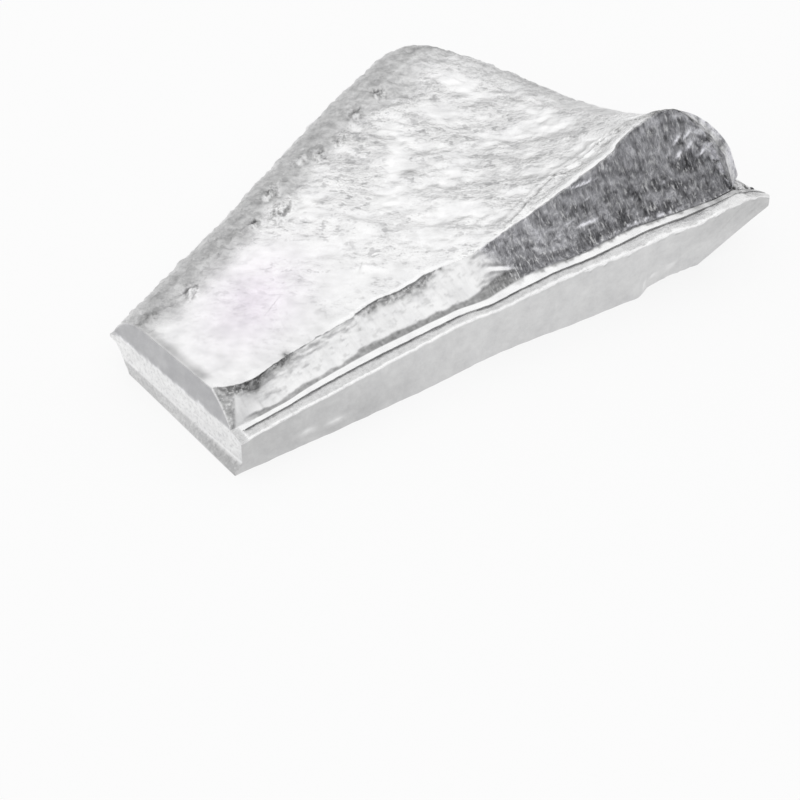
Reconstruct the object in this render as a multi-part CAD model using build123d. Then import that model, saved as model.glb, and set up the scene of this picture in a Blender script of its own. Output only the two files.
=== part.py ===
from build123d import *
import math
import os

# Indium ingot, a piece cut from a cast slab. Millimetres.
# X runs along the cut side, Y across towards the as-cast side, Z up from the flat bottom.
# The piece is one solid: wrinkled cast top, rounded cast side and rounded cast rear end,
# a sheared side with a hollow upper face, two narrow lands and a groove, and a bevelled front end.

# plan
cut_side_length = 73.2
front_width = 22.6
rear_width = 46.5
front_skew = 2.9            # how far the as-cast corner of the front end lies ahead of the cut corner
rear_skew = 18.2            # how far the as-cast corner of the rear end lies short of the tip
rear_corner_round = 5.2     # pull-in of the rear corner where the cast side turns into the cast rear end
cut_side_bow = 0.7          # hollow of the cut side in plan
tip_outset = 2.0            # how far the cut side runs outwards towards the rear tip
cast_side_bow = 1.6         # belly of the cast side in plan, fullest three quarters of the way back

# heights
front_thickness = 7.6
rear_thickness = 11.6
crest_rise = 14.0           # how much higher the crest of the cut stands at the rear than at the front
crest_growth = 2.6          # power of the rise along the piece: it comes late
front_ridge_height = 4.2
rear_ridge_height = 8.3
tip_drop = 1.6              # the lands bend down at the rear tip
tip_drop_length = 3.6       # over this length
lower_face_lean = 0.8       # the lower face of the cut side stands out at the bottom
rear_undercut = 2.2         # and leans in under the ridge at the rear tip

# sheared side
outer_land_width = 1.0
groove_width = 0.7
groove_depth = 0.35
inner_land_width = 0.6
land_climb = 0.6            # how much the foot of the hollow face stands above the ridge
rear_climb_share = 0.2      # what is left of it at the rear tip
front_cut_run = 3.7
rear_cut_run = 9.0
cut_hollow_share = 0.05     # sag of the hollow face, of its chord

# as-cast side and rear end
shoulder_run = 4.5
shoulder_drop = 3.0
cast_wall_lean = 2.4        # the cast wall leans in towards the bottom
rear_round_length = 5.2
rear_wall_lean = 9.0        # the rear wall leans in towards the bottom
rear_wall_height = 6.0
crest_round_length = 9.7    # the crest rounds off over this length
shelf_length = 0.3          # and the lands run on past its end to the tip
rear_crest_left = 0.2       # height of the crest over the foot on that shelf

# front end
front_rim_height = 4.8
front_bevel_run = 0.95
front_bottom_bevel_rise = 1.5
front_bottom_bevel_run = 0.4

# the sections reach below the floor and are cut off flat there
overrun = 1.0

lean_start_share = 0.74
section_shares = [
    0.0, 0.06, 0.12, 0.18, 0.24, 0.3, 0.36, 0.42, 0.48, 0.54, 0.6, 0.66, 0.72, 0.77, 0.81,
    0.84, 0.865, 0.89, 0.91, 0.93, 0.945, 0.957, 0.967, 0.976, 0.984, 0.99, 0.995, 1.0,
]


def mix(first, last, share):
    return first + (last - first) * share


def fall(share, round_length, rest_length):
    """Height factor of a rounding that ends rest_length short of the rear end: from one down to zero."""
    end = 1.0 - rest_length / cut_side_length
    start = end - round_length / cut_side_length
    t = min(1.0, max(0.0, (share - start) / (end - start)))
    return math.sqrt(1.0 - t * t)


def lateness(share):
    """Zero along the piece, growing to one over its rear part."""
    return max(0.0, (share - lean_start_share) / (1.0 - lean_start_share)) ** 1.3


def section_frame(share):
    """Foot point on the cut side, direction across and width of one cross-section."""
    right = Vector(
        cut_side_length * share,
        4.0 * cut_side_bow * share * (1.0 - share) - tip_outset * share * share,
        0.0,
    )
    corner = max(0.0, (share - 0.86) / 0.14)
    along = mix(-front_skew, cut_side_length - rear_skew, share) + 0.35 * rear_corner_round * corner ** 3
    across = mix(front_width, rear_width, share) + 9.48 * cast_side_bow * share ** 3 * (1.0 - share)
    left = Vector(along, across - rear_corner_round * corner ** 2.2, 0.0)
    step = left - right
    return right, step.normalized(), step.length


def section_points(share):
    """Corner points of one cross-section as (distance across, height)."""
    right, direction, width = section_frame(share)
    down = fall(share, rear_round_length, 0.0)
    crest_down = fall(share, crest_round_length, shelf_length)
    tip = max(0.0, 1.0 - (1.0 - share) * cut_side_length / tip_drop_length)
    ridge = mix(front_ridge_height, rear_ridge_height, share) - tip_drop * tip * tip
    climb = land_climb * mix(rear_climb_share, 1.0, crest_down)
    foot = ridge + climb
    run = mix(front_cut_run, rear_cut_run, share ** crest_growth)
    crest_full = front_thickness + crest_rise * share ** crest_growth
    crest = mix(foot + rear_crest_left, crest_full, crest_down)
    land = outer_land_width + groove_width + inner_land_width
    crest_across = land + run * mix(0.35, 1.0, crest_down)
    cast_top = mix(front_thickness, rear_thickness, share)
    top = mix(rear_wall_height, cast_top, down)
    wall = top - shoulder_drop * mix(0.3, 1.0, down)
    return {
        "bottom_right": (mix(-lower_face_lean, rear_undercut, lateness(share)), -overrun),
        "ridge": (0.0, ridge),
        "groove_outer": (outer_land_width, ridge + climb * 0.3),
        "groove_floor": (outer_land_width + groove_width * 0.5, ridge + climb * 0.5 - groove_depth),
        "groove_inner": (outer_land_width + groove_width, ridge + climb * 0.7),
        "foot": (land, foot),
        "crest": (crest_across, crest),
        "top_near": (mix(crest_across, width - shoulder_run, 0.3), mix(crest, top, 0.78)),
        "top_far": (mix(crest_across, width - shoulder_run, 0.65), mix(crest, top, 1.0)),
        "shoulder": (width - shoulder_run, top),
        "wall_top": (width, wall),
        "bottom_left": (width - cast_wall_lean, -overrun),
    }


def place(share, across, height):
    """Point of a cross-section in space; near the rear end its low points are drawn forwards,
    and the last section lies in one leaning plane."""
    right, direction, width = section_frame(share)
    end_height = rear_ridge_height - tip_drop + land_climb * rear_climb_share + rear_crest_left
    depth_share = 1.0 - height / end_height
    if share < section_shares[-1]:
        depth_share = max(0.0, depth_share)
    forwards = rear_wall_lean * lateness(share) * depth_share
    return right + direction * across + Vector(-forwards, 0.0, height)


def section_wire(share):
    flat = section_points(share)
    p = {name: place(share, across, height) for name, (across, height) in flat.items()}

    def between(name_a, name_b, share_along, side):
        (xa, za), (xb, zb) = flat[name_a], flat[name_b]
        dx, dz = xb - xa, zb - za
        x = xa + dx * share_along - dz * side
        z = za + dz * share_along + dx * side
        return place(share, x, z)

    lines = [
        Line(p["bottom_left"], p["bottom_right"]),
        Line(p["bottom_right"], p["ridge"]),
        Line(p["ridge"], p["groove_outer"]),
        Spline(p["groove_outer"], p["groove_floor"], p["groove_inner"]),
        Line(p["groove_inner"], p["foot"]),
        Spline(p["foot"], between("foot", "crest", 0.5, -cut_hollow_share), p["crest"]),
        Spline(p["crest"], p["top_near"], p["top_far"], p["shoulder"]),
        Spline(p["shoulder"], between("shoulder", "wall_top", 0.5, 0.2), p["wall_top"]),
        Line(p["wall_top"], p["bottom_left"]),
    ]
    return Wire(lines)


body = Solid.make_loft([section_wire(share) for share in section_shares], ruled=True)

# front end: a bevel above the rim and a smaller one below it, both straight along the front line
front_right, front_direction, front_length = section_frame(0.0)
outward = Vector(0, 0, 1).cross(front_direction)


def end_bevel(start_height, run, rise):
    """Wedge outside a sloping plane that starts on the end face and runs inwards as it climbs or falls."""
    reach = 3.0
    start = front_right - front_direction * front_length + Vector(0, 0, start_height)
    inner = start - outward * (run * reach) + Vector(0, 0, rise * reach)
    outer = start + outward * front_thickness
    face = Face(Wire.make_polygon([start, inner, outer + Vector(0, 0, rise * reach), outer]))
    return Solid.extrude(face, front_direction * (front_length * 3.0))


body = body - end_bevel(front_rim_height, front_bevel_run, front_thickness - front_rim_height)
body = body - end_bevel(front_bottom_bevel_rise, front_bottom_bevel_run, -front_bottom_bevel_rise)


# flat bottom
reach = cut_side_length + rear_width
above_floor = Box(reach * 4, reach * 4, reach, align=(Align.CENTER, Align.CENTER, Align.MIN))
ingot = (body & above_floor).solids()[0]

# origin in the middle of the footprint box, on the floor
box = ingot.bounding_box()
ingot = Pos(-(box.min.X + box.max.X) / 2, -(box.min.Y + box.max.Y) / 2, -box.min.Z) * ingot
ingot.label = "ingot"

os.makedirs("parts", exist_ok=True)
export_step(ingot, "parts/ingot.step")
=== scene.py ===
"""Looks of the indium ingot: one piece of cast and sheared soft metal on a pale floor."""
import math

import bmesh
import bpy
import numpy as np
from mathutils import Matrix, Vector


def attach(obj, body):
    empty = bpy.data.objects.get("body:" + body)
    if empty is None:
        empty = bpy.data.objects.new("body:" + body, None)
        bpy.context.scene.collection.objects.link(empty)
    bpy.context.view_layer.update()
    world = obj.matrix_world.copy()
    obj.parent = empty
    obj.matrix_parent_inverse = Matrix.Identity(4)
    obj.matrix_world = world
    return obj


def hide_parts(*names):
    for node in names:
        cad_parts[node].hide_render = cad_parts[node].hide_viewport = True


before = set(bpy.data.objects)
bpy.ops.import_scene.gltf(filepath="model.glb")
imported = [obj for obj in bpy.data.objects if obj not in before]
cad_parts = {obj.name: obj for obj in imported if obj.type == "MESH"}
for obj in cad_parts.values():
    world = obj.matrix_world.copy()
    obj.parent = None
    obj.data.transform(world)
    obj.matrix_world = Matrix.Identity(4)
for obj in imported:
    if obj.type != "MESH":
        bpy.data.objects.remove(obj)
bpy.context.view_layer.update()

MM = 0.001

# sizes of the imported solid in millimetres, named as in the part's source
cut_side_length = 73.2
front_width = 22.6
rear_width = 46.5
front_skew = 2.9
rear_skew = 18.2
rear_corner_round = 5.2
cut_side_bow = 0.7
tip_outset = 2.0
cast_side_bow = 1.6
front_thickness = 7.6
rear_thickness = 11.6
crest_rise = 14.0
crest_growth = 2.6
front_ridge_height = 4.2
rear_ridge_height = 8.3
tip_drop = 1.6
tip_drop_length = 3.6
lower_face_lean = 0.8
rear_undercut = 2.2
outer_land_width = 1.0
groove_width = 0.7
groove_depth = 0.35
inner_land_width = 0.6
land_climb = 0.6
rear_climb_share = 0.2
front_cut_run = 3.7
rear_cut_run = 9.0
cut_hollow_share = 0.05
shoulder_run = 4.5
shoulder_drop = 3.0
cast_wall_lean = 2.4
rear_round_length = 5.2
rear_wall_lean = 9.0
rear_wall_height = 6.0
crest_round_length = 9.7
shelf_length = 0.3
rear_crest_left = 0.2
front_rim_height = 4.8
front_bevel_run = 0.95
lean_start_share = 0.74
corner_start_share = 0.86
belly_scale = 9.48

# the crest really falls off blunter than the solid's plain rounding, and leaves a short ledge at the tip
blunt_length = 7.2
ledge_length = 3.2
bluntness = 3.2

# the front end's foot, at the cut corner, where it flares out, and foot_bevel_span further across
foot_bevel_rises = (1.2, 2.0)
foot_bevel_runs = (-1.1, 0.05)
foot_bevel_span = 20.0
# share of the length over which the shape of the front end fades out
front_bevel_share = 0.06

# each end face closes on a level line inside it
spine_height = 3.0
spine_from_cut_side = 2.5
spine_from_cast_side = 4.0

# how the real lines wander from the plain ones: place along the cut side, offset towards the cast side
ridge_wander = [
    (0, -0.5), (3, -0.4), (11, -0.2), (18, 0), (31, 0.5), (35, 0), (44, 0.25), (54, -0.3), (58.5, 0.1),
    (61.5, -0.6), (66, 0.15), (70, 0.3), (73.2, 0),
]
foot_wander = [
    (0, -1.0), (7, -0.9), (12, -0.3), (20, 0.2), (32, 0.2), (34.6, -0.4), (41, 0.6), (45, 0.5), (48, 0),
    (56, 0.7), (60, 0.2), (66.5, -0.4), (69, 0.2), (73.2, 0),
]
crest_wander = [
    (0, 0), (2, -1.1), (4.5, -1.7), (9, -0.9), (14.5, -0.1), (21, 0.4), (24, 0.95), (29, 0.4), (31, 0.7),
    (34, 0.3), (36.5, -0.35), (43, -0.1), (53, -0.1), (57.5, -0.4), (61, 0.5), (65, 0),
]
bottom_wander = [
    (0, 0.3), (4, 0), (12, -0.25), (24, -0.25), (33, 0.4), (37, 0.4), (44, 0.1), (54.6, 0.1), (55.4, 1.0),
    (62, 1.0), (69, 0.2), (73.2, -0.4),
]
# where the dark line of the groove lies, as a share of the way from the ridge to the foot
groove_place = [
    (0, 0.62), (10, 0.62), (22, 0.52), (31, 0.50), (37, 0.45), (41, 0.38), (46, 0.44), (52, 0.50),
    (58, 0.52), (64, 0.62), (73.2, 0.60),
]
# where the fold that leaves the crest lies: place along the cut side, distance from the crest
fold_line = [(41, 0.1), (44, 0.9), (47, 1.9), (51, 3.0), (55, 3.7), (59, 3.4), (63, 2.3), (67, 1.2)]

# mesh density: cells across each strip of the section, stations along the piece, rings on each end
strip_cells = {
    "lower_face": 22,
    "outer_land": 6,
    "groove": 6,
    "inner_land": 5,
    "cut_face": 40,
    "top": 116,
    "shoulder": 22,
    "cast_wall": 14,
    "bottom": 10,
}
STATIONS = 310
END_RINGS = 20
# stations crowd towards the rear: share of the stations, place along the cut side
station_spread = [(0.0, 0.0), (0.78, 64.0), (0.86, 69.0), (0.95, 72.0), (1.0, 73.2)]
weld_distance = 0.004 * MM
sharp_angle = math.radians(44)

# the hollow face turns from bright to dark here, where its painted dark reflection begins
dark_start = 38.3
dark_end = 40.5

# how deep and how far from its edge the rear cap rounds off the hollow face and the top
cap_depth_cut, cap_reach_cut = 1.10, 3.2
cap_depth_top, cap_reach_top = 0.60, 1.8

# round nose of the tip, in plan
nose_outset = 0.5
nose_centre = (71.6, -0.9)
nose_radius = 1.1


def mix(first, last, share):
    return first + (last - first) * share


def smooth(x, low, high):
    """Zero at low, one at high, eased between them; low may be the larger."""
    t = np.clip((x - low) / (high - low), 0.0, 1.0)
    return t * t * (3.0 - 2.0 * t)


def soft_line(distance, width):
    """One on a line, falling off softly beside it."""
    return np.exp(-(distance / width) ** 2)


def follow(table, x):
    """Value of a (place, offset) table at x, with its corners eased."""
    places, offsets = zip(*table)
    ease = np.linspace(-1.2, 1.2, 7)
    return sum(np.interp(x + step, places, offsets) for step in ease) / len(ease)


def lattice(ix, iy, seed):
    """Repeatable number from 0 to 1 for each lattice point."""
    h = (ix.astype(np.int64) * 374761393 + iy.astype(np.int64) * 668265263 + seed * 2147483647) & 0xFFFFFFFF
    h = ((h ^ (h >> 13)) * 1274126177) & 0xFFFFFFFF
    h = ((h ^ (h >> 16)) * 2246822519) & 0xFFFFFFFF
    h = h ^ (h >> 15)
    return (h & 0xFFFFFF) / float(0x1000000)


def noise(x, y, seed):
    """Gradient noise, about -1 to 1, one bump per unit."""
    x, y = np.broadcast_arrays(np.asarray(x, float), np.asarray(y, float))
    ix, iy = np.floor(x), np.floor(y)
    fx, fy = x - ix, y - iy
    u = fx * fx * fx * (fx * (fx * 6 - 15) + 10)
    v = fy * fy * fy * (fy * (fy * 6 - 15) + 10)

    def corner(dx, dy):
        a = lattice(ix + dx, iy + dy, seed) * 2 * math.pi
        return np.cos(a) * (fx - dx) + np.sin(a) * (fy - dy)

    low = corner(0, 0) * (1 - u) + corner(1, 0) * u
    high = corner(0, 1) * (1 - u) + corner(1, 1) * u
    return (low * (1 - v) + high * v) * 1.5


def ripple(x, length, seed, lane=0.3):
    """Noise along one direction alone, one bump per length."""
    return noise(x / length, lane, seed)


def layers(x, y, seed, count=3, gain=0.5):
    """Noise with finer and weaker noise on it."""
    total, scale, weight = 0.0, 1.0, 1.0
    for k in range(count):
        total = total + weight * noise(x * scale, y * scale, seed + 17 * k)
        scale *= 2.03
        weight *= gain
    return total


def creases(x, y, seed, sharpness=3.0):
    """Thin lines, 1 on a line and 0 away from it, where the noise changes sign."""
    return np.clip(1.0 - np.abs(layers(x, y, seed, 2)) * sharpness, 0.0, 1.0) ** 2


def spot(x, y, x0, y0, length, width, turn=0.0):
    """One soft spot, 1 in its middle; turn is its angle from x."""
    c, s = math.cos(turn), math.sin(turn)
    along = ((x - x0) * c + (y - y0) * s) / length
    across = (-(x - x0) * s + (y - y0) * c) / width
    return np.exp(-(along * along + across * across) * 2.0)


def fall(share, round_length, rest_length, power=2.0):
    """Height factor of a rounding that ends rest_length short of the rear end: from one down to zero."""
    end = 1.0 - rest_length / cut_side_length
    start = end - round_length / cut_side_length
    t = np.clip((share - start) / (end - start), 0.0, 1.0)
    return (1.0 - t ** power) ** (1.0 / power)


def lateness(share):
    """Zero along the piece, growing to one over its rear part."""
    return np.clip((share - lean_start_share) / (1.0 - lean_start_share), 0.0, None) ** 1.3


def sections(share, wander):
    """Feet, directions and named points of the cross-sections; wander 0 gives the solid's plain lines."""
    x = cut_side_length * share
    right = np.stack([x, 4.0 * cut_side_bow * share * (1.0 - share) - tip_outset * share * share], -1)
    corner = np.clip((share - corner_start_share) / (1.0 - corner_start_share), 0.0, None)
    along = mix(-front_skew, cut_side_length - rear_skew, share) + 0.35 * rear_corner_round * corner ** 3
    across = mix(front_width, rear_width, share) + belly_scale * cast_side_bow * share ** 3 * (1.0 - share)
    left = np.stack([along, across - rear_corner_round * corner ** 2.2], -1)
    step = left - right
    width = np.linalg.norm(step, axis=-1)
    direction = step / width[:, None]

    down = fall(share, rear_round_length, 0.0)
    plain_down = fall(share, crest_round_length, shelf_length)
    crest_down = mix(plain_down, fall(share, blunt_length, ledge_length, bluntness), wander)
    tip = np.clip(1.0 - (1.0 - share) * cut_side_length / tip_drop_length, 0.0, None)
    ridge = mix(front_ridge_height, rear_ridge_height, share) - tip_drop * tip * tip
    climb = land_climb * mix(rear_climb_share, 1.0, crest_down)
    foot = ridge + climb
    run = mix(front_cut_run, rear_cut_run, share ** crest_growth)
    crest_full = front_thickness + crest_rise * share ** crest_growth
    crest = mix(foot + rear_crest_left, crest_full, crest_down)
    land = outer_land_width + groove_width + inner_land_width
    closing = mix(mix(0.35, 1.0, crest_down), mix(0.06, 1.0, crest_down ** 1.8), wander)
    top = mix(rear_wall_height, mix(front_thickness, rear_thickness, share), down)
    wall = top - shoulder_drop * mix(0.3, 1.0, down)

    ridge_off = wander * (follow(ridge_wander, x) + 0.10 * ripple(x, 1.1, 5) + 0.05 * ripple(x, 0.45, 6))
    foot_off = wander * (follow(foot_wander, x) + 0.05 * ripple(x, 1.6, 7))
    crest_off = wander * (follow(crest_wander, x) + 0.10 * ripple(x, 2.0, 8) + 0.08 * ripple(x, 0.7, 9))
    cast_off = wander * (0.22 * ripple(x, 3.1, 10) + 0.12 * ripple(x, 1.1, 11))
    bottom_off = wander * (follow(bottom_wander, x) + 0.08 * ripple(x, 1.5, 12))
    line_at = follow(groove_place, x)
    groove_fade = 0.75 * smooth(x, 0.7, 1.8) * mix(1.0, 0.25, smooth(x, 63.0, 69.0))
    zero = np.zeros_like(x)
    points = {
        "bottom_right": (mix(-lower_face_lean, rear_undercut, lateness(share)) + bottom_off, zero),
        "ridge": (ridge_off, ridge),
        "groove_outer": (mix(ridge_off, land + foot_off, 0.24 * line_at), ridge + climb * 0.12),
        "groove_floor": (zero, ridge + climb * 0.5 - groove_depth * groove_fade),
        "groove_inner": (mix(ridge_off, land + foot_off, line_at + 0.06), ridge + climb * 0.75),
        "foot": (land + foot_off, foot),
        "crest": (land + run * closing + crest_off, crest),
        "shoulder": (width - shoulder_run, top),
        "wall_top": (width + cast_off, wall),
        "bottom_left": (width - cast_wall_lean + 0.7 * cast_off, zero),
    }
    return right, direction, points


def outlines(points, share):
    """Closed outline of every section: across and height, by station and column, each column's strip
    and its share of the way across that strip."""
    hollow = cut_hollow_share * mix(-0.8, 1.0, smooth(share, 0.0, 0.07))
    groove_floor = points["groove_floor"][1]
    columns_across, columns_height, strips, shares = [], [], [], []

    # each curve gives across and height at a share t of the way from point a to point b of a section
    def straight(wa, za, wb, zb, t):
        return mix(wa, wb, t), mix(za, zb, t)

    def groove_curve(wa, za, wb, zb, t):
        """Slopes down from the outer land and breaks off steeply at the inner one."""
        depth = 1.0 - (1.0 - min(t / 0.84, (1.0 - t) / 0.16)) ** 1.5
        place_in = 1.0 - (1.0 - t) ** 1.6
        return mix(wa, wb, place_in), mix(za, zb, place_in) - (mix(za, zb, 0.5) - groove_floor) * depth

    def hollow_curve(wa, za, wb, zb, t):
        """Sags to one side of its chord."""
        sag = hollow * 4 * t * (1 - t)
        return mix(wa, wb, t) + (zb - za) * sag, mix(za, zb, t) - (wb - wa) * sag

    def top_curve(wa, za, wb, zb, t):
        """Comes down from the crest in an easing curve, and is level from there on."""
        near = max(0.0, 1.0 - t / 0.65) ** 2.44
        return mix(wa, wb, t), zb + (za - zb) * near

    def quarter_round(wa, za, wb, zb, t):
        turn = t * math.pi / 2
        return wa + (wb - wa) * math.sin(turn), zb + (za - zb) * math.cos(turn)

    def add(name, start, end, curve=straight, crowd=1.0):
        """The cells of one strip; crowd draws them together towards its end."""
        for k in range(strip_cells[name]):
            t = 1.0 - (1.0 - k / strip_cells[name]) ** crowd
            across, height = curve(*points[start], *points[end], t)
            columns_across.append(across)
            columns_height.append(height)
            strips.append(name)
            shares.append(t)

    add("lower_face", "bottom_right", "ridge", crowd=1.6)
    add("outer_land", "ridge", "groove_outer")
    add("groove", "groove_outer", "groove_inner", groove_curve)
    add("inner_land", "groove_inner", "foot")
    add("cut_face", "foot", "crest", hollow_curve)
    add("top", "crest", "shoulder", top_curve)
    add("shoulder", "shoulder", "wall_top", quarter_round)
    add("cast_wall", "wall_top", "bottom_left")
    add("bottom", "bottom_left", "bottom_right")
    return np.stack(columns_across, 1), np.stack(columns_height, 1), np.array(strips), np.array(shares)


def from_cut_corner(across, values):
    """A size of the front end's foot, between its two values, at a distance across."""
    return mix(*values, np.clip(across / foot_bevel_span, 0.0, 1.0))


def front_inset(height, across):
    """How far the front end face steps back at a height: a bevel above, a flaring foot below."""
    above_rim = np.clip(height - front_rim_height, 0, None)
    foot_rise = from_cut_corner(across, foot_bevel_rises)
    upper = above_rim * front_bevel_run / (front_thickness - front_rim_height)
    lower = np.clip(foot_rise - height, 0, None) / foot_rise * from_cut_corner(across, foot_bevel_runs)
    return upper + lower


station_shares = np.interp(np.linspace(0.0, 1.0, STATIONS), *zip(*station_spread)) / cut_side_length


def skin_points(wander=1.0):
    """Grid of the skin in local millimetres, front end to rear end, and each column's strip and share."""
    right, direction, points = sections(station_shares, wander)
    across, heights, strips, shares = outlines(points, station_shares)
    columns = len(strips)
    end_height = rear_ridge_height - tip_drop + land_climb * rear_climb_share + rear_crest_left
    front_in = np.array([direction[0][1], -direction[0][0]])

    def at(share, values):
        return np.stack([np.interp(share, station_shares, values[:, k]) for k in range(2)], -1)

    def place(share, across, height):
        """Point of a section in space, with the lean of the rear wall and the shape of the front end."""
        forwards = rear_wall_lean * lateness(share) * np.clip(1.0 - height / end_height, 0.0, None)
        inset = front_inset(height, across) * np.clip(1.0 - share / front_bevel_share, 0.0, 1.0)
        plan = at(share, right) + at(share, direction) * across[..., None] + front_in * inset[..., None]
        return np.stack([plan[..., 0] - forwards, plan[..., 1], height], -1)

    def rings(station):
        """The outline of an end section shrinks to a line inside the end face."""
        outer = across[station]
        spine = np.clip(outer, spine_from_cut_side, outer.max() - spine_from_cast_side)
        share = np.full(columns, station_shares[station])
        steps = [k / END_RINGS for k in range(1, END_RINGS + 1)]
        return np.array([
            place(share, mix(outer, spine, t), mix(heights[station], spine_height, t)) for t in steps
        ])

    body = place(np.repeat(station_shares[:, None], columns, 1), across, heights)
    return np.concatenate([rings(0)[::-1], body, rings(STATIONS - 1)], 0), strips, shares


def surface_normals(points):
    """Outward normals of the grid by its neighbours' differences; each outline is closed."""
    along = np.gradient(points, axis=0)
    around = np.roll(points, -1, 1) - np.roll(points, 1, 1)
    n = np.cross(along, around)
    n /= np.linalg.norm(n, axis=-1)[..., None] + 1e-9
    return n


def soften(mask):
    """Spreads a mask over its neighbouring columns and rows."""
    mask = (np.roll(mask, 1, 1) + 2.0 * mask + np.roll(mask, -1, 1)) / 4.0
    padded = np.pad(mask, ((1, 1), (0, 0)), mode="edge")
    return (padded[:-2] + 2.0 * padded[1:-1] + padded[2:]) / 4.0


base, column_strips, column_shares = skin_points()
rows, cols = base.shape[:2]
first, last = END_RINGS, END_RINGS + STATIONS - 1
row = np.arange(rows)[:, None]
front_end = np.repeat(row < first, cols, 1)
rear_end = np.repeat(row > last, cols, 1)
X, Y, Z = base[..., 0], base[..., 1], base[..., 2]
row_station = np.clip(np.arange(rows) - first, 0, STATIONS - 1)
place_along = np.repeat(station_shares[row_station][:, None], cols, 1) * cut_side_length
share_across = np.repeat(column_shares[None, :], rows, 0)


def strip(name):
    """1 on one strip of the body, 0 elsewhere."""
    return ((column_strips == name)[None, :] & ~front_end & ~rear_end).astype(float)


def distance_from(name, from_end=False):
    """Millimetres across a strip from its first edge, or from its last; far on every other strip."""
    index = np.where(column_strips == name)[0]
    edges = np.append(index, (index[-1] + 1) % cols)
    steps = np.linalg.norm(np.diff(base[:, edges], axis=1), axis=-1)
    run = np.concatenate([np.zeros((rows, 1)), np.cumsum(steps, 1)], 1)
    if from_end:
        run = run[:, -1:] - run
    far = 99.0
    out = np.full((rows, cols), far)
    out[:, index] = run[:, :-1]
    return out


def past(start, end):
    """One behind a place along the cut side, zero in front of it, eased between start and end."""
    return smooth(place_along, start, end)


def between(rise_start, rise_end, fall_start, fall_end):
    """One on a stretch of the cut side, zero outside it."""
    return past(rise_start, rise_end) * (1 - past(fall_start, fall_end))


lower = strip("lower_face")
outer = strip("outer_land")
groove = strip("groove")
inner = strip("inner_land")
cut = strip("cut_face")
top = strip("top")
shoulder = strip("shoulder")
wall = strip("cast_wall")
bottom = strip("bottom")
cast_top = top + shoulder
lands = outer + groove + inner

from_crest = distance_from("top")
from_shoulder = distance_from("top", from_end=True)
down_shoulder = distance_from("shoulder")
beside = np.where(top > 0, from_shoulder, -down_shoulder)
above_foot = distance_from("cut_face")
below_crest = distance_from("cut_face", from_end=True)
under_ridge = distance_from("lower_face", from_end=True)
from_ridge = distance_from("outer_land")
outer_cells = strip_cells["outer_land"]
outer_width = from_ridge[:, column_strips == "outer_land"][:, -1:] * outer_cells / (outer_cells - 1)
from_ridge = np.where(groove > 0, outer_width + distance_from("groove"), from_ridge)

# directions in plan: the skin's wrinkles run along P and are close together across it, along Q
wrinkle_turn = math.radians(-39.0)
P = X * math.cos(wrinkle_turn) + Y * math.sin(wrinkle_turn)
Q = -X * math.sin(wrinkle_turn) + Y * math.cos(wrinkle_turn)
towards_rear = X + 0.7 * Y

# every point of the skin gets a height off the plain surface and the looks that its material reads:
# tone multiplies the colour, fine is the strength of the bump, and mottle, speckle and combing are
# the amounts of long, round and combed flecks. Tone also carries painted light: painted highlights,
# painted shade in hollows and painted reflections of darker surroundings
height = np.zeros((rows, cols))
start_looks = {
    "tone": 1.0,
    "roughness": 0.30,
    "fine": 0.15,
    "mottle": 0.10,
    "speckle": 0.10,
    "combing": 0.0,
}
looks = {name: np.full((rows, cols), value) for name, value in start_looks.items()}


def blend(field, mask, value):
    return field + (value - field) * np.clip(mask, 0, 1)


def paint(mask, **values):
    """Brings the named looks to new values where the mask is one."""
    for name, value in values.items():
        looks[name] = blend(looks[name], mask, value)


def on_cast_top(x0, from_edge, length, width, turn=0.0):
    """A spot on the top or the shoulder, placed along the piece and from the edge between them."""
    return cast_top * spot(place_along, beside, x0, from_edge, length, width, turn)


def on_cut_face(x0, up, length, width, turn=0.0):
    """A spot on the hollow face, placed along the piece and up from its foot."""
    return cut * spot(place_along, above_foot, x0, up, length, width, turn)


speck = layers(X / 0.9, Y / 0.9 + Z / 0.8, 112, 3, 0.7)
patch = layers(X / 6.0, Y / 6.0 + Z / 4.0, 110, 3)
crumbs = layers(place_along / 0.62, above_foot / 0.62, 140, 2, 0.8)

# top: foil-like wrinkles, weak in front and strong at the back
wrinkle_gain = mix(0.10, 1.0, smooth(towards_rear, 22, 56))
warp_p = P + 1.4 * noise(P / 4.0, Q / 4.0, 40)
warp_q = Q + 1.1 * noise(P / 3.3, Q / 3.3, 41)
patchy = np.clip(0.55 + 0.9 * noise(P / 5.0, Q / 4.0, 47), 0.1, 1.2)
wrinkles = 0.075 * layers(warp_p / 2.4, warp_q / 1.25, 42, 3, 0.6)
wrinkles = wrinkles - 0.055 * patchy * creases(warp_p / 3.6, warp_q / 1.9, 44)
swell = 0.15 * noise(P / 9.0, Q / 5.0, 45) + 0.08 * noise(P / 3.2, Q / 2.6, 46)
calm = mix(0.15, 1.0, smooth(from_crest, 0.3, 1.5))
height += soften(top) * calm * (wrinkles * wrinkle_gain + swell * mix(0.5, 1.0, wrinkle_gain))
fuller_corner = 0.45 * spot(place_along, from_crest, 70.0, 14.0, 9.0, 11.0)
drawn_in = 0.60 * spot(place_along, beside, 73.0, -1.0, 6.0, 6.0)
height += cast_top * (fuller_corner - drawn_in)

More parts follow.
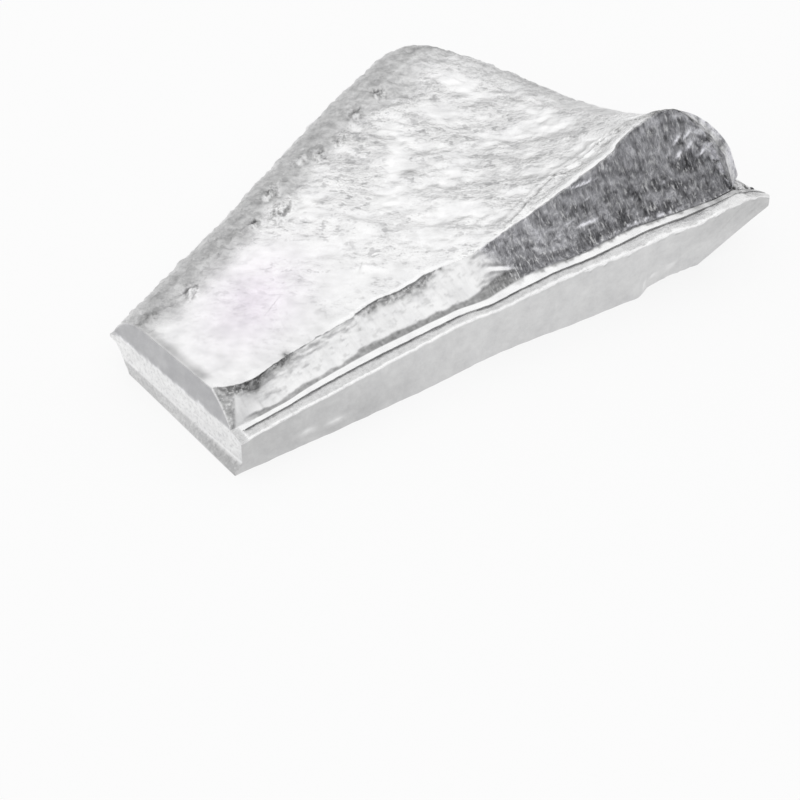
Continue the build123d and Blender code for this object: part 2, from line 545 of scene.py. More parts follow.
clouds_top = layers(P / 4.2, Q / 3.0, 130, 3, 0.6)
streaks_top = layers(P / 2.6, Q / 0.9, 132, 2, 0.6)
top_tone = mix(0.955, 1.05, smooth(towards_rear, 12, 50)) + 0.09 * np.minimum(clouds_top, 0.3)
top_tone = top_tone + wrinkle_gain * 0.08 * streaks_top - 0.015 + 0.05 * noise(P / 1.5, Q / 1.1, 161)
# the top is darker along its front end
front_edge_darkening = top * (1 - past(0.3, 2.0 + 0.8 * ripple(Y, 2.2, 153))) * smooth(from_crest, 0.5, 2.5)
crumpled = np.clip(0.62 + 1.1 * noise(P / 5.5, Q / 3.6, 150) + 0.4 * noise(P / 2.0, Q / 1.4, 151), 0.0, 1.0)
paint(
    soften(top),
    tone=top_tone - 0.34 * front_edge_darkening,
    roughness=0.21,
    fine=mix(0.12, 1.0, wrinkle_gain),
    mottle=mix(0.22, 1.0, smooth(towards_rear, 12, 46)) * crumpled,
    speckle=mix(0.05, 0.45, wrinkle_gain) * crumpled,
)

# a fold that leaves the crest, with painted shade lines beyond it and a painted highlight before it
fold_at = follow(fold_line, place_along) + 0.15 * ripple(place_along, 1.3, 48, 0.6)
folded = top * between(42, 44.5, 63, 66)
beyond_fold = from_crest - fold_at
height += folded * 0.22 * soft_line(beyond_fold + 0.35, 0.35)
height -= folded * 0.20 * soft_line(beyond_fold - 0.15, 0.25)
paint(0.80 * folded * soft_line(beyond_fold - 0.1, 0.26), tone=0.58)
paint(0.45 * folded * soft_line(beyond_fold - 0.95, 0.2), tone=0.62)
paint(0.70 * folded * soft_line(beyond_fold + 0.5, 0.35), tone=1.04)

# scratches on the smooth front of the top: x, y, length, width, turn
front_scratches = [(12.5, 13.0, 2.4, 0.10, 0.5), (16.8, 8.6, 1.2, 0.10, 1.1), (24.0, 12.5, 1.3, 0.16, 0.8)]
for scratch in front_scratches:
    paint(0.6 * top * spot(X, Y, *scratch), tone=0.62)

# the band of rough skin on the shoulder and beside it reaches a wandering way over the top
band_edge = 0.7 + 1.3 * ripple(place_along, 6.0, 30, 0.7) + 0.8 * ripple(place_along, 2.1, 31, 0.7)
band_edge = band_edge + 2.2 * past(46, 58)
side_band = smooth(from_shoulder, band_edge + 2.2, band_edge - 1.0)
rear_band = smooth(place_along + 1.2 * ripple(from_crest, 3.0, 32, 0.2), 63.0, 70.0)
band = soften(np.maximum(shoulder, top * np.maximum(side_band, rear_band * smooth(from_crest, 3.0, 9.0))))
rough_shoulder = 0.13 * layers(place_along / 1.5, down_shoulder / 1.6, 50, 4, 0.6)
rough_shoulder = rough_shoulder - 0.16 * creases(X / 2.2, (Y + Z) / 2.2, 52)
rough_top = 0.12 * layers(X / 1.4, Y / 1.4, 53, 4, 0.6) - 0.12 * creases(X / 2.4, Y / 2.0, 54)
height += band * np.where(shoulder > 0, rough_shoulder, rough_top)
# the band's grey tone: partly its rougher skin, partly a painted reflection of darker surroundings
shoulder_tone = mix(0.62, 0.86, smooth(share_across, 0.10, 0.75))
band_tone = np.where(shoulder > 0, shoulder_tone, mix(0.62, 0.84, past(50, 66)))
band_tone = band_tone + 0.04 * speck + 0.08 * patch
band_tone = band_tone + 0.10 * layers(place_along / 2.6, beside / 1.3, 154, 2, 0.6)
paint(soften(band), tone=band_tone, roughness=0.40, fine=0.7, mottle=0.35, speckle=0.35)

# pockets in the band, with painted highlights and painted shade close together: place along, from the edge,
# length, width
pockets = [
    (25.0, 0.9, 1.5, 0.8), (30.5, -0.6, 2.2, 1.2), (28.6, 2.3, 2.8, 1.5), (40.3, 0.9, 1.7, 1.1),
    (38.0, -0.6, 1.7, 1.0), (10.0, 1.3, 1.9, 1.0), (49.5, 0.8, 1.8, 1.2), (44.5, 1.6, 1.8, 1.1),
    (55.0, 1.0, 1.5, 1.2),
]
pocket = np.clip(1.7 * np.maximum.reduce([on_cast_top(*values) for values in pockets]), 0, 1)
bits = layers((place_along + 0.6 * beside) / 1.05, beside / 0.85, 134, 2, 0.7)
height += 0.08 * pocket * bits
paint(pocket * smooth(bits, 0.04, 0.24), tone=1.08)
paint(pocket * smooth(bits, -0.08, -0.30), tone=0.52)
paint(pocket, speckle=1.0)

# painted light and shade on the shoulder: painted shade on its front corner, a painted highlight line
# with a painted shade line under it
paint(1.2 * on_cast_top(2.8, -0.5, 2.4, 1.2, 0.2), tone=0.38 + 0.25 * speck)
paint(on_cast_top(10.3, 1.25, 1.3, 0.16, 0.22), tone=1.08)
paint(on_cast_top(10.0, 1.75, 1.5, 0.14, 0.30), tone=0.70)

# slits with a raised side: place along, from the edge, length, width, turn, depth
slits = [
    (10.2, 0.65, 1.2, 0.2, 0.22, 0.45), (25.0, 0.5, 0.8, 0.2, 0.4, 0.40), (40.8, 0.8, 0.7, 0.15, 0.3, 0.25),
    (50.5, 0.4, 1.1, 0.16, 0.2, 0.30), (55.6, 0.5, 1.1, 0.2, 0.5, 0.35), (30.5, -0.9, 0.6, 0.2, -0.6, 0.2),
]
slit = np.zeros((rows, cols))
for x0, from_edge, length, width, turn, depth in slits:
    opening = on_cast_top(x0, from_edge, length, width, turn)
    raised_side = on_cast_top(x0 + 0.1, from_edge + 0.4, length, width * 1.6, turn)
    height += depth * (0.5 * raised_side - opening)
    slit = np.maximum(slit, opening)
# painted shade in the slits' openings
paint(1.4 * slit, tone=0.18)

# cast wall and rear wall: coarse cast skin
skin_x = np.where(rear_end, Y, X)
cast_skin = 0.12 * layers(skin_x / 2.3, Z / 1.9, 60, 4, 0.6) - 0.10 * creases(skin_x / 4.0, Z / 2.6, 62)
height += np.where(wall > 0, cast_skin, 0)
height += np.where(rear_end, cast_skin * smooth(row - last, 0, 3), 0)
paint(soften(np.maximum(wall, rear_end)), tone=0.80 + 0.08 * speck, roughness=0.40, fine=0.6, speckle=0.7)
paint(soften(bottom), tone=0.80, roughness=0.42)

# hollow face: bright with flat blotches in front, dark and striped behind; the dark tone behind is a
# painted reflection of darker surroundings, beside the world's dark flag that the face mirrors
streak = layers(place_along / 0.42, above_foot / 7.0, 70, 2, 0.6)
streak = streak + 0.5 * noise(place_along / 1.3, above_foot / 3.0, 71)
ledges = smooth(noise((place_along + 0.35 * above_foot) / 2.6, above_foot / 3.0, 72), 0.15, 0.3)
blocks = layers(place_along / 1.25, above_foot / 1.1, 157, 3, 0.7)
in_front = between(3.0, 8.0, 37, 41)
height += cut * mix(0.010, 0.045, past(34, 46)) * streak
height += cut * 0.05 * ledges * past(40, 48)
height += 0.42 * on_cut_face(36.8, 2.4, 5.0, 3.4)
height += cut * in_front * 0.035 * blocks
edge_wave = 0.8 * noise(place_along / 0.5, above_foot / 1.4, 114) + 2.4 * (share_across - 0.5)
behind = smooth(place_along + edge_wave, dark_start, dark_end)
stripes = 0.5 + 0.5 * layers(place_along / 0.6, above_foot / 3.4, 115, 3, 0.8)
clouds = 0.5 + 0.5 * layers(place_along / 1.6, above_foot / 1.8, 117, 4, 0.75)
patches = smooth(layers(place_along / 2.6, above_foot / 2.2, 160, 3, 0.7), -0.45, 0.55)
lighter = 0.16 * smooth(place_along, 54, 42) + 0.15 * smooth(share_across, 0.25, 0.9)
lighter = lighter + 0.22 * spot(place_along, below_crest, 60.0, 1.8, 2.6, 1.6)
dark = 0.06 + 0.80 * lighter + 0.26 * stripes + 0.24 * clouds + 0.08 * crumbs + 0.22 * (patches - 0.4)
pale_streaks = np.clip(layers(place_along / 0.7, above_foot / 5.0, 118, 2), 0, 1)
paint(soften(cut), tone=1.02 - 0.10 * pale_streaks, roughness=0.30, fine=mix(0.12, 0.55, behind))
paint(cut * in_front * smooth(blocks, 0.25, 0.75), tone=0.82)
paint(cut * behind, tone=np.clip(dark, 0.05, 1.0))
paint(
    cut,
    mottle=0.0,
    speckle=mix(0.05, 0.55 * patches, behind),
    combing=mix(0.10, mix(0.45, 1.0, 1.0 - patches), behind),
)
# painted shade: darker still near the foot of the dark part
paint(0.5 * cut * behind * (1 - smooth(share_across, 0.02, 0.22)), tone=0.20)

# bright spikes of torn metal along its foot: raised a little, and their brightness is a painted highlight
spike = 0.10 + 0.45 * np.clip(ripple(place_along, 0.55, 158, 0.4) + 0.3, 0, 1)
height += cut * past(40, 44) * 0.16 * np.clip(1 - above_foot / (2.0 * spike), 0, 1) ** 2
paint(cut * between(40, 44, 63, 67) * smooth(above_foot, spike + 0.08, spike - 0.08), tone=1.08)

# painted shade of the facet that the shear left in its front corner: a greyer patch with painted shade
# lines on its edges; the facet is painted, not shaped
facet_line = 0.4 + 2.3 * share_across
facet = cut * smooth(place_along, facet_line + 0.1, facet_line - 0.1)
paint(facet, tone=0.62 - 0.14 * share_across + 0.14 * speck, speckle=0.8)
paint(0.5 * cut * soft_line(place_along - facet_line, 0.22), tone=0.42)
paint(0.35 * cut * soft_line(place_along - 4.4 - 0.5 * (1 - share_across), 0.12), tone=0.5)

# painted shade along the foot, in the corner where the hollow face meets the land; the foot is also sunk a
# little
foot_reach = 0.35 + 0.25 * ripple(place_along, 2.3, 86, 0.5) + 0.12 * ripple(place_along, 0.6, 87, 0.5)
foot_reach = foot_reach + 0.5 * between(15, 21, 29, 33) + 1.2 * between(30, 39, 46, 50)
foot_shade = cut * smooth(above_foot, foot_reach + 0.15, foot_reach - 0.15) * past(1.5, 4)
height -= 0.06 * foot_shade
paint(0.9 * foot_shade, tone=mix(0.40, 0.30, past(16, 24)) + 0.14 * crumbs)
paint(foot_shade, combing=mix(0.15, 1.0, past(34, 40)))

# torn pits under the crest: a thin line everywhere, and two stretches where they reach further down;
# they are sunk a little and their darkness is painted shade
front_pits = between(0.3, 1.5, 10.6, 11.3)
middle_pits = between(20.5, 23.0, 31.6, 32.8)
in_pits = np.maximum(front_pits, middle_pits)
front_reach = 0.95 + 0.7 * soft_line(place_along - 3.6, 1.4) + 0.5 * ripple(place_along, 2.1, 81, 0.4)
front_reach = front_reach + 0.3 * ripple(place_along, 0.9, 82, 0.4)
middle_reach = 1.35 + 0.6 * ripple(place_along, 2.4, 83, 0.4) + 0.3 * ripple(place_along, 0.9, 84, 0.4)
thin_reach = 0.12 + 0.05 * ripple(place_along, 1.3, 80, 0.2)
reach = np.maximum.reduce([thin_reach, front_pits * front_reach, middle_pits * middle_reach])
pit = cut * smooth(below_crest, reach + mix(0.08, 0.45, in_pits), reach - mix(0.12, 0.7, in_pits))
blotch = np.clip(0.88 + 0.55 * layers(place_along / 1.1, below_crest / 0.8, 85, 3, 0.7), 0.1, 1)
pit = pit * mix(0.5, 1.0, in_pits) * blotch
# single deep pits: place along, down from the crest, length, width
knots = [(10.9, 0.2, 1.1, 1.0), (28.9, 0.5, 0.5, 0.55), (30.9, 0.35, 0.45, 0.75), (33.2, 0.2, 0.4, 0.4)]
for knot in knots:
    pit = np.maximum(pit, cut * spot(place_along, below_crest, *knot))
pit = np.maximum(pit, 0.95 * top * spot(place_along, from_crest, 10.9, 0.1, 0.8, 0.7))
height -= 0.07 * pit
paint(0.95 * pit, tone=mix(0.36, 0.16, front_pits) + 0.14 * crumbs)
paint(pit, speckle=1.0)

# rear cap: the crest rounds over, and a rough rim runs down where the face ends; the peak just before
# the rim is painted darker, and the rim gets painted highlights and painted shade in specks
cap = past(66.5, 70.0)
past_peak = past(67.6, 69.2)
face_width = (above_foot + below_crest)[:, column_strips == "cut_face"].mean(1)[first:last + 1]
steepness = np.zeros((rows, 1))
steepness[first:last + 1, 0] = np.gradient(face_width, station_shares * cut_side_length)
below_rim = below_crest / np.sqrt(1 + steepness ** 2)
height -= cap_depth_cut * cap * cut * np.clip(1 - below_rim / cap_reach_cut, 0, None) ** 2
height -= cap_depth_top * cap * top * np.clip(1 - from_crest / cap_reach_top, 0, None) ** 2
rim_edge = 2.3 + 0.6 * noise(place_along / 0.8, above_foot, 156)
rim_on_cut = cut * smooth(below_rim, rim_edge + 0.3, rim_edge - 0.3)
rim = past_peak * np.maximum(rim_on_cut, top * (1 - smooth(from_crest, 1.0, 2.2)))
peak_on_cut = cut * (1 - smooth(below_crest, 0.3, 1.2))
peak_on_top = top * (1 - smooth(from_crest, 1.2, 3.2))
peak = past(62.5, 66.0) * (1 - past_peak) * np.maximum(peak_on_cut, peak_on_top)
rim_grain = layers(Z / 0.6, (X + Y) / 0.6, 73, 2, 0.6)
height += 0.18 * np.maximum(rim, peak) * rim_grain
paint(peak, tone=0.50 + 0.30 * rim_grain)
paint(rim, tone=np.clip(0.80 + 1.5 * rim_grain, 0.20, 1.08), roughness=0.55)
paint(np.maximum(rim, peak), speckle=1.0, fine=0.9)

# lip along the rear half of the crest: a smooth raised strip, painted bright as a highlight where it
# faces up, with a painted shade line along its far edge
lip = top * between(44, 50, 62, 65)
lip_face = lip * (1 - smooth(from_crest, 1.1, 1.6))
height += 0.26 * lip * np.clip(1 - ((from_crest - 0.6) / 0.9) ** 2, 0, None)
paint(lip_face, tone=1.05, mottle=0.1, roughness=0.22)
paint(0.35 * lip * spot(from_crest, 0.0, 1.55, 0.0, 0.4, 1.0), tone=0.5)

# scratches and glints of the hollow face: place along, up from the foot, length, width, turn
scratches = [
    (53.0, 5.4, 0.8, 0.10, 0.15), (64.4, 7.0, 0.6, 0.12, 0.5), (62.5, 4.1, 0.8, 0.10, 0.4),
    (58.0, 3.2, 0.6, 0.10, -0.2), (49.5, 3.9, 1.0, 0.10, 0.1), (47.2, 2.9, 0.9, 0.10, 0.3),
    (70.6, 6.6, 0.7, 0.14, 0.8), (68.4, 5.2, 0.5, 0.12, 0.6),
]
for scratch in scratches:
    paint(0.85 * on_cut_face(*scratch), tone=1.0)
glint = smooth(noise(place_along / 0.42, above_foot / 0.5, 119), 0.55, 0.8) * past(44, 62)
paint(0.55 * cut * behind * glint, tone=0.85)

# strokes with a step under them, painted bright as highlights: place along, up from the foot, length,
# half the step, turn
strokes = [
    (39.0, 2.1, 2.1, 0.26, -0.47), (53.4, 7.3, 2.2, 0.22, -0.09), (66.2, 8.4, 1.0, 0.2, 0.56),
    (67.5, 8.5, 0.9, 0.2, 0.56), (65.7, 6.7, 0.9, 0.2, 0.56), (67.2, 7.1, 0.8, 0.2, 0.5),
    (68.2, 5.8, 0.8, 0.2, 0.4), (51.4, 2.9, 1.6, 0.18, -0.1),
]
stroke = np.zeros((rows, cols))
for x0, up, length, half, turn in strokes:
    under = on_cut_face(x0, up - half, length, 0.38, turn)
    over = on_cut_face(x0, up + half, length, 0.38, turn)
    height += 0.12 * (under - over)
    stroke = np.maximum(stroke, on_cut_face(x0, up, length, 0.20, turn))
paint(1.5 * stroke, tone=1.08)
paint(stroke, combing=0.0)

# painted highlights along the edges where the top and the front end meet the hollow face
paint(top * between(16, 20, 46, 50) * (1 - smooth(from_crest, 0.35, 0.6)), tone=1.08)
paint(0.8 * cut * (row == first), tone=1.06)

# lands and groove: a rough outer edge painted bright as a beaded highlight, a torn inner one and a
# painted shade line between them; the inner land is painted bright where it faces up
bead = ripple(place_along, 1.0, 90, 0.7) + 0.6 * ripple(place_along, 0.42, 93, 0.7)
bead_in = 0.26 + past(36, 46) * (0.12 + 0.26 * bead)
bead_out = 0.12 + past(36, 46) * (0.12 + 0.24 * bead)
edge_on_lands = (outer + groove) * smooth(from_ridge, bead_in + 0.08, bead_in - 0.08)
edge = np.maximum(edge_on_lands, lower * smooth(under_ridge, bead_out + 0.08, bead_out - 0.08))
height += (outer + inner) * 0.02 * noise(place_along / 1.4, Y / 0.8, 91)
torn_side = smooth(share_across, 0.5, 0.84) * (1 + ripple(place_along, 1.7, 92, 0.4))
height -= groove * 0.05 * torn_side * past(1, 2)

behind_front = past(0.8, 1.3)
inner_wide = np.maximum(inner, groove * smooth(share_across, 0.93, 0.99))
paint(lands, tone=0.74 + 0.05 * speck + 0.10 * past(44, 60), roughness=0.28, speckle=0.4)
paint(inner_wide, speckle=0.1)
paint(inner_wide * behind_front, tone=mix(1.06, 0.80, past(65, 70)))
# painted shade along the torn side of the inner land
tear = 0.66 + 0.34 * ripple(place_along, 1.5, 152) + 0.26 * ripple(place_along, 0.5, 155)
paint(inner * smooth(share_across, tear - 0.1, tear + 0.25) * past(36, 44), tone=0.42)
paint(inner_wide * past(60, 66), tone=0.62 + 0.2 * bead)
# painted shade in the groove
groove_shade = groove * soft_line(share_across - 0.84, 0.10) * mix(0.6, 1.0, past(26, 36))
groove_shade = groove_shade * np.clip(0.75 + 0.5 * ripple(place_along, 2.2, 136), 0.3, 1)
paint(groove_shade * behind_front * (1 - 0.7 * past(63, 68)), tone=0.42)
paint(edge * behind_front * (1 - 0.75 * past(64, 68)), tone=1.08)
# a painted highlight across the lands near the front end
paint(lands * soft_line(place_along - 1.05, 0.16), tone=1.06)

# lower face: nearly smooth, with a few nicks at the bottom: place along, height, length, width
nicks = [
    (8.5, 1.5, 1.3, 0.5), (12.0, 1.3, 1.6, 0.45), (55.2, 1.1, 0.6, 0.9), (57.5, 1.5, 1.2, 0.4),
    (61.0, 1.9, 1.4, 0.5),
]
nick = lower * np.maximum.reduce([spot(place_along, Z, *values) for values in nicks])
height += lower * 0.03 * layers(place_along / 3.0, Z / 1.6, 95, 3)
height -= 0.12 * nick * (1 + 0.6 * noise(place_along / 0.6, Z / 0.5, 96))
# the lower face's grey tone is a painted reflection of darker surroundings, darker towards the front, in
# one patch and at the rear near the ridge
lower_tone = 0.77 + 0.03 * patch + 0.02 * noise(place_along / 1.2, Z / 0.9, 120)
lower_tone = lower_tone - 0.06 * spot(place_along, Z, 17.0, 1.0, 9.0, 2.0) - 0.09 * (1 - past(5, 26))
lower_tone = lower_tone - 0.11 * past(58, 68) * smooth(share_across, 0.3, 0.8)
paint(lower * (1 - edge), tone=lower_tone)
# painted shade line just under the bead
shade_under_bead = lower * soft_line(under_ridge - bead_out - 0.16, 0.09)
paint(0.8 * shade_under_bead * smooth(bead, 0.1, 0.5) * past(40, 46), tone=0.45)
paint(nick, tone=1.0)
paint(lower, roughness=0.36, fine=0.08)

# front end: smooth sheared facets, a bevel above the rim and a foot below, with painted glints on their
# edges; the bevel's grey is a painted reflection of darker surroundings, the foot's darker tone painted
# shade
height += np.where(front_end & (Z < front_rim_height), 0.02 * noise(Y / 1.2, Z / 0.7, 98), 0)
on_bevel = smooth(Z, front_rim_height - 0.12, front_rim_height + 0.12)
above_front_foot = Z - from_cut_corner(Y, foot_bevel_rises)
ragged = 0.18 * ripple(Y, 0.7, 123) + 0.10 * ripple(Y, 0.3, 124)
rim_glint = soft_line(Z - front_rim_height - ragged, 0.16) * np.clip(0.7 + ripple(Y, 1.3, 125, 0.4), 0, 1)
foot_glint = soft_line(above_front_foot - ragged, 0.20) * np.clip(0.5 + ripple(Y, 1.6, 126, 0.4), 0, 1)
front_tone = mix(0.97 + 0.07 * noise(Y / 0.6, Z / 0.6, 122), 0.56 + 0.04 * patch, on_bevel)
front_tone = mix(0.70, front_tone, smooth(above_front_foot, -0.4, 0.0))
front_tone = blend(front_tone, np.maximum(rim_glint, foot_glint), 1.06)
paint(
    front_end,
    tone=front_tone,
    roughness=0.32,
    fine=mix(0.18, 0.06, on_bevel),
    speckle=mix(0.5, 0.05, on_bevel),
)

# faint colour: a purplish spot on the top, a cooler hollow face and bevel
tone = np.clip(looks["tone"], 0.05, 1.08)
tint = top * spot(X, Y, 11.0, 14.8, 10.5, 7.0, 0.6)
cooler = 0.05 * cut * behind + 0.02 * front_end * on_bevel
colour = [tone * (1 - 0.01 * tint), tone * (1 - 0.065 * tint), tone * (1 + 0.004 * tint) * (1 + cooler)]

skin = base + surface_normals(base) * height[..., None]

# burrs: torn metal at the rim's left end, and a small one under the rim
burr = spot(Y, Z, 22.6, 4.3, 0.9, 0.8) * np.clip(1 - np.abs(X + 2.9) / 2.0, 0, 1)
skin[..., 0] -= 0.55 * burr
skin[..., 1] += 0.35 * burr
skin[..., 0] -= 0.30 * spot(Y, Z, 20.0, 2.9, 0.35, 0.45) * (X < -1.0)


def round_tip(points, centre, radius):
    """Pulls what stands outside a round tip onto its circle in plan."""
    dx = np.clip(points[..., 0] - centre[0], 0, None)
    dy = np.clip(centre[1] - points[..., 1], 0, None)
    reach = np.hypot(dx, dy)
    pull = np.where((dx > 0) & (dy > 0) & (reach > radius), radius / np.maximum(reach, 1e-6), 1.0)
    points[..., 0] = np.where(dx > 0, centre[0] + dx * pull, points[..., 0])
    points[..., 1] = np.where(dy > 0, centre[1] - dy * pull, points[..., 1])


# tip: drawn out a little into a round nose
nose = smooth(skin[..., 0], 69.5, 73.0) * soft_line(skin[..., 1] + 1.2, 1.6)
skin[..., 0] += nose_outset * nose * soft_line(skin[..., 2] - 6.2, 1.5)
round_tip(skin, nose_centre, nose_radius)

# flat underside
skin[..., 2] = np.where(bottom > 0, 0.0, np.maximum(skin[..., 2], 0.0))

# the part's origin is the middle of the solid's footprint, which has the plain lines
plain = skin_points(0.0)[0].reshape(-1, 3)
middle = (plain.min(0) + plain.max(0)) / 2
shift = np.array([-middle[0], -middle[1], 0.0])


def make_mesh(points):
    """One closed mesh from the grid, with the looks of its points as colour attributes."""
    corners = np.arange(rows * cols).reshape(rows, cols)
    beside_corners = np.roll(corners, -1, 1)
    faces = np.stack([corners[:-1], corners[1:], beside_corners[1:], beside_corners[:-1]], -1)
    mesh = bpy.data.meshes.new("ingot_skin")
    mesh.from_pydata((points.reshape(-1, 3) * MM).tolist(), [], faces.reshape(-1, 4).tolist())

    def store(name, channels):
        layer = mesh.color_attributes.new(name, "FLOAT_COLOR", "POINT")
        layer.data.foreach_set("color", np.stack(channels, -1).ravel())

    amounts = {name: np.clip(looks[name], 0, 1) for name in ("mottle", "speckle", "combing")}
    store("skin_colour", [*colour, amounts["combing"]])
    store("skin_finish", [looks["roughness"], looks["fine"], amounts["mottle"], amounts["speckle"]])
    bm = bmesh.new()
    bm.from_mesh(mesh)
    bmesh.ops.remove_doubles(bm, verts=bm.verts, dist=weld_distance)
    bmesh.ops.recalc_face_normals(bm, faces=bm.faces)
    bm.to_mesh(mesh)
    bm.free()
    mesh.polygons.foreach_set("use_smooth", [True] * len(mesh.polygons))
    mesh.set_sharp_from_angle(angle=sharp_angle)
    return mesh


def add_node(tree, kind, inputs=None, **settings):
    """A new node with its settings; each input that is named gets a link or a plain value."""
    node = tree.nodes.new(kind)
    for key, value in settings.items():
        setattr(node, key, value)
    for name, value in (inputs or {}).items():
        if isinstance(value, bpy.types.NodeSocket):
            tree.links.new(value, node.inputs[name])
        else:
            node.inputs[name].default_value = value
    return node


def maths(tree, operation, *values):
    return add_node(tree, "ShaderNodeMath", dict(enumerate(values)), operation=operation).outputs[0]


def joined(tree, operation, values):
    """One value from several, joined one after another."""
    result, *others = values
    for value in others:
        result = maths(tree, operation, result, value)
    return result


def mixed(tree, kind, factor, a, b):
    inputs = {"Factor": factor, "A": a, "B": b}
    return add_node(tree, "ShaderNodeMix", inputs, data_type="RGBA", blend_type=kind).outputs["Result"]


def ramp(tree, value, stops):
    """Colours along a value, from (position, colour) stops."""
    node = add_node(tree, "ShaderNodeValToRGB", {"Fac": value})
    elements = node.color_ramp.elements
    while len(elements) < len(stops):
        elements.new(0.5)
    for element, (position, colour_there) in zip(elements, stops):
        element.position = position
        element.color = colour_there
    return node.outputs["Color"]


def grey(level):
    return (level, level, level, 1)


def indium_material():
    """Soft white metal: colour and finish follow the skin's looks, with flecks, grain and fine bump."""
    mat = bpy.data.materials.new("indium")
    mat.use_nodes = True
    tree = mat.node_tree
    metal = tree.nodes["Principled BSDF"]
    metal.inputs["Metallic"].default_value = 1.0
    coord = add_node(tree, "ShaderNodeTexCoord").outputs["Object"]

    def stretched(turn, scale):
        inputs = {"Vector": coord, "Rotation": (0, 0, turn), "Scale": scale}
        return add_node(tree, "ShaderNodeMapping", inputs, vector_type="TEXTURE").outputs[0]

    def pattern(vector, scale, detail, rough):
        inputs = {"Vector": vector, "Scale": scale, "Detail": detail, "Roughness": rough}
        return add_node(tree, "ShaderNodeTexNoise", inputs).outputs["Fac"]

    def part_of(value, limits, amount):
        """How far a value lies between two limits, times an amount of the skin."""
        inputs = {"Value": value, "From Min": limits[0], "From Max": limits[1]}
        share = add_node(tree, "ShaderNodeMapRange", inputs).outputs["Result"]
        return maths(tree, "MULTIPLY", share, amount)

    skin_colour = add_node(tree, "ShaderNodeAttribute", attribute_name="skin_colour")
    skin_finish = add_node(tree, "ShaderNodeAttribute", attribute_name="skin_finish")
    finish = add_node(tree, "ShaderNodeSeparateColor", {0: skin_finish.outputs["Color"]})
    skin_roughness, bump_amount = finish.outputs["Red"], finish.outputs["Green"]

    long_flecks = pattern(stretched(wrinkle_turn, (1.6, 1.0, 1.0)), 1250.0, 5.0, 0.64)
    combed_flecks = pattern(stretched(0.0, (1.0, 3.2, 3.2)), 3300.0, 4.0, 0.66)
    grain = pattern(coord, 2300.0, 4.0, 0.66)
    cloud = pattern(coord, 420.0, 4.0, 0.6)
    # each kind of fleck: pattern, amount, limits of its dark flecks, limits of its light ones
    fleck_kinds = [
        (long_flecks, finish.outputs["Blue"], (0.445, 0.395), (0.53, 0.575)),
        (grain, skin_finish.outputs["Alpha"], (0.47, 0.38), (0.55, 0.61)),
        (combed_flecks, skin_colour.outputs["Alpha"], (0.48, 0.40), (0.555, 0.62)),
    ]

    # colour: pale metal with slight clouding, dark and light flecks where the skin has them: partly its
    # grain, partly painted shade and painted glints of its fine wrinkles
    pale = ramp(tree, cloud, [(0.30, (0.83, 0.83, 0.835, 1)), (0.62, (0.925, 0.925, 0.925, 1))])
    tinted = mixed(tree, "MULTIPLY", 1.0, pale, skin_colour.outputs["Color"])
    darker = mixed(tree, "MULTIPLY", 1.0, tinted, (0.66, 0.66, 0.665, 1))
    lighter = mixed(tree, "SCREEN", 1.0, tinted, grey(0.55))
    dark_parts = [part_of(flecks, dark, amount) for flecks, amount, dark, _ in fleck_kinds]
    light_parts = [part_of(flecks, light, amount) for flecks, amount, _, light in fleck_kinds]
    speckled = mixed(tree, "MIX", joined(tree, "MAXIMUM", dark_parts), tinted, darker)
    speckled = mixed(tree, "MIX", joined(tree, "MAXIMUM", light_parts), speckled, lighter)
    tree.links.new(speckled, metal.inputs["Base Color"])

    # roughness: from the skin, with a grainy change
    uneven = maths(tree, "MULTIPLY_ADD", grain, 0.12, -0.06)
    tree.links.new(maths(tree, "ADD", skin_roughness, uneven), metal.inputs["Roughness"])

    # bump: the flecks, strong on the cast skin, and a grain
    bump_depth = 0.4 * MM
    fleck_reliefs = [maths(tree, "MULTIPLY", flecks, amount) for flecks, amount, _, _ in fleck_kinds]
    relief = maths(tree, "MULTIPLY", joined(tree, "ADD", fleck_reliefs), bump_amount)
    relief = maths(tree, "ADD", relief, maths(tree, "MULTIPLY", grain, 0.02))
    bump = add_node(tree, "ShaderNodeBump", {"Height": relief, "Strength": 1.0, "Distance": bump_depth})
    tree.links.new(bump.outputs["Normal"], metal.inputs["Normal"])
    return mat


ingot = bpy.data.objects.new("ingot_skin", make_mesh(skin + shift))
ingot.data.materials.append(indium_material())
bpy.context.scene.collection.objects.link(ingot)

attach(ingot, "root")
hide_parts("ingot")


def floor_plane():
    """Pale floor that shows as white and keeps a soft shadow."""
    reach = 3.0
    whiteness = 0.82
    corners = [(-reach, -reach, 0), (reach, -reach, 0), (reach, reach, 0), (-reach, reach, 0)]
    floor_mesh = bpy.data.meshes.new("floor")
    floor_mesh.from_pydata(corners, [], [(0, 1, 2, 3)])
    floor = bpy.data.objects.new("floor", floor_mesh)
    bpy.context.scene.collection.objects.link(floor)
    mat = bpy.data.materials.new("floor_paper")
    mat.use_nodes = True
    tree = mat.node_tree
    paper = tree.nodes["Principled BSDF"]
    paper.inputs["Base Color"].default_value = grey(0.95)
    paper.inputs["Roughness"].default_value = 0.8
    white = add_node(tree, "ShaderNodeEmission", {"Color": grey(1), "Strength": 1.0})
    path = add_node(tree, "ShaderNodeLightPath")
    seen_by = [path.outputs["Is %s Ray" % kind] for kind in ("Camera", "Glossy", "Transmission")]
    white_share = maths(tree, "MULTIPLY", joined(tree, "MAXIMUM", seen_by), whiteness)
    both = add_node(tree, "ShaderNodeMixShader", {0: white_share, 1: paper.outputs[0], 2: white.outputs[0]})
    tree.links.new(both.outputs[0], tree.nodes["Material Output"].inputs["Surface"])
    floor_mesh.materials.append(mat)


floor_plane()


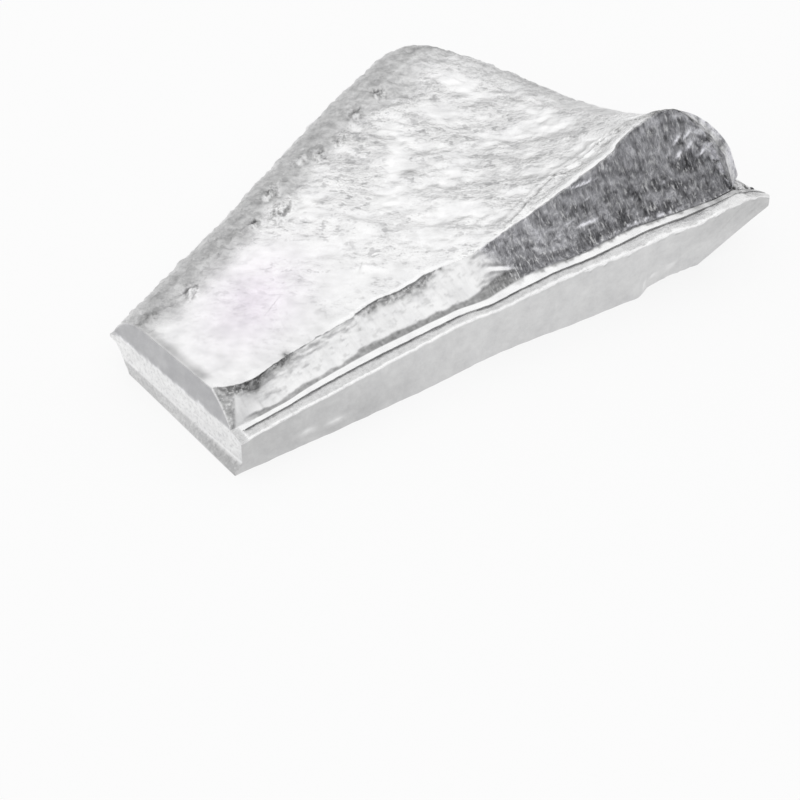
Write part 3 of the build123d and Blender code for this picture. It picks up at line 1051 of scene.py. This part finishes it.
def studio_world():
    """Even bright studio, with a dark flag low in front to the right that the hollow face mirrors."""
    flag_azimuth, flag_elevation = math.radians(-63.0), math.radians(22.0)
    towards_flag = (
        math.cos(flag_azimuth) * math.cos(flag_elevation),
        math.sin(flag_azimuth) * math.cos(flag_elevation),
        math.sin(flag_elevation),
    )
    # stops of the flag by the cosine of the angle from its middle, and of the sky by height
    flag_stops = [(0.81, grey(1.0)), (0.91, (0.38, 0.38, 0.385, 1))]
    sky_levels = [(0.0, 0.60), (0.30, 0.68), (0.52, 0.93), (0.70, 1.08), (0.90, 1.0), (1.0, 0.95)]
    world = bpy.data.worlds.new("studio")
    bpy.context.scene.world = world
    world.use_nodes = True
    tree = world.node_tree
    direction = add_node(tree, "ShaderNodeTexCoord").outputs["Generated"]
    both = {0: direction, 1: towards_flag}
    near_flag = add_node(tree, "ShaderNodeVectorMath", both, operation="DOT_PRODUCT").outputs["Value"]
    flag = ramp(tree, near_flag, flag_stops)
    parts = add_node(tree, "ShaderNodeSeparateXYZ", {0: direction})
    sky = ramp(tree, parts.outputs["Z"], [(position, grey(level)) for position, level in sky_levels])
    background = tree.nodes["Background"]
    tree.links.new(mixed(tree, "MULTIPLY", 1.0, sky, flag), background.inputs["Color"])
    background.inputs["Strength"].default_value = 1.0


studio_world()


def photo_camera():
    """The photograph's camera, worked out in the ingot's own millimetres."""
    azimuth = math.radians(-33.5)
    elevation = math.radians(43.0)
    view_angle = math.radians(16.0)
    sensor_width = 36.0
    eye = np.array([-108.843, -196.332, 219.068]) + shift
    forward = Vector((
        -math.sin(azimuth) * math.cos(elevation),
        math.cos(azimuth) * math.cos(elevation),
        -math.sin(elevation),
    ))
    side = Vector((math.cos(azimuth), math.sin(azimuth), 0.0))
    up = side.cross(forward)
    data = bpy.data.cameras.new("camera")
    data.sensor_fit = "HORIZONTAL"
    data.sensor_width = sensor_width
    data.lens = sensor_width / 2 / math.tan(view_angle / 2)
    camera = bpy.data.objects.new("camera", data)
    bpy.context.scene.collection.objects.link(camera)
    turn = Matrix((side, up, -forward)).transposed().to_4x4()
    camera.matrix_world = Matrix.Translation(Vector(eye * MM)) @ turn
    bpy.context.scene.camera = camera


photo_camera()
bpy.context.scene.view_settings.view_transform = "Standard"
